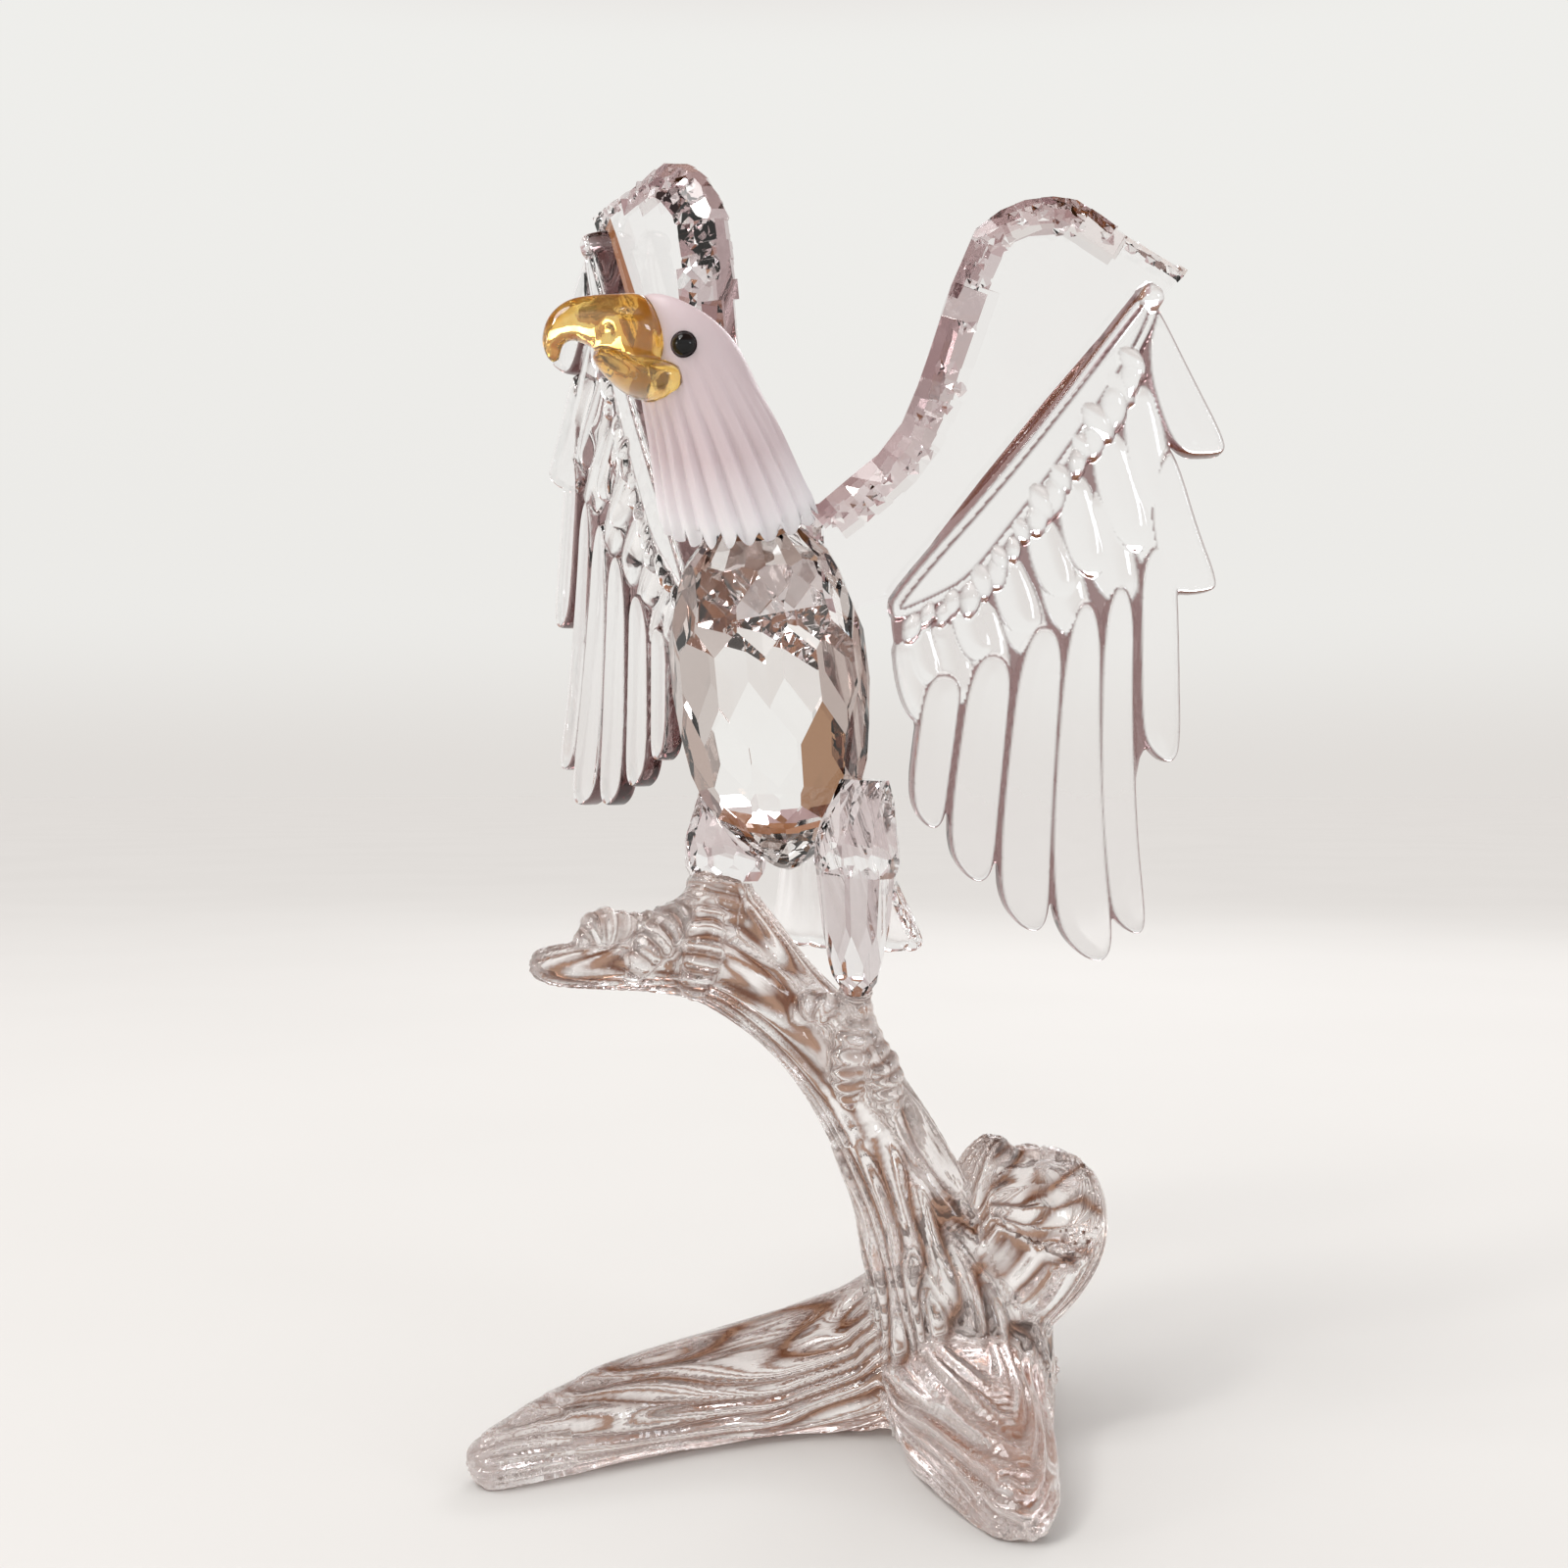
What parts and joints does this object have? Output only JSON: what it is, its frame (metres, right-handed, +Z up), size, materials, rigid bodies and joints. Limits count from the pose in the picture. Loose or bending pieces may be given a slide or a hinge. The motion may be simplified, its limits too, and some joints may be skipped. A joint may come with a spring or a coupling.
{
  "type": "crystal eagle figurine",
  "caption": "Cut-crystal eagle with raised wings, a frosted head and an amber beak, gripping a twisted cast-glass driftwood branch.",
  "frame": {"origin": "on the flat underside of the branch, beneath its trunk", "axes": "+Z up, -Y towards the side the figure is shown from, +X towards its raised left wing"},
  "size_m": [0.0931, 0.0809, 0.165],
  "materials": {
    "clear_crystal": "polished clear lead crystal",
    "frosted_crystal": "satin frosted crystal",
    "amber_crystal": "polished amber crystal",
    "black_glass": "polished black glass"
  },
  "bodies": {
    "root": {"branch": "clear_crystal", "body": "clear_crystal", "thigh_left": "clear_crystal", "thigh_right": "clear_crystal", "tail": "clear_crystal", "wing_left": "clear_crystal", "wing_right": "clear_crystal", "feathers_left": "clear_crystal", "feathers_right": "clear_crystal", "head": "frosted_crystal", "beak": "amber_crystal", "eye_left": "black_glass", "eye_right": "black_glass"}
  },
  "joints": []
}
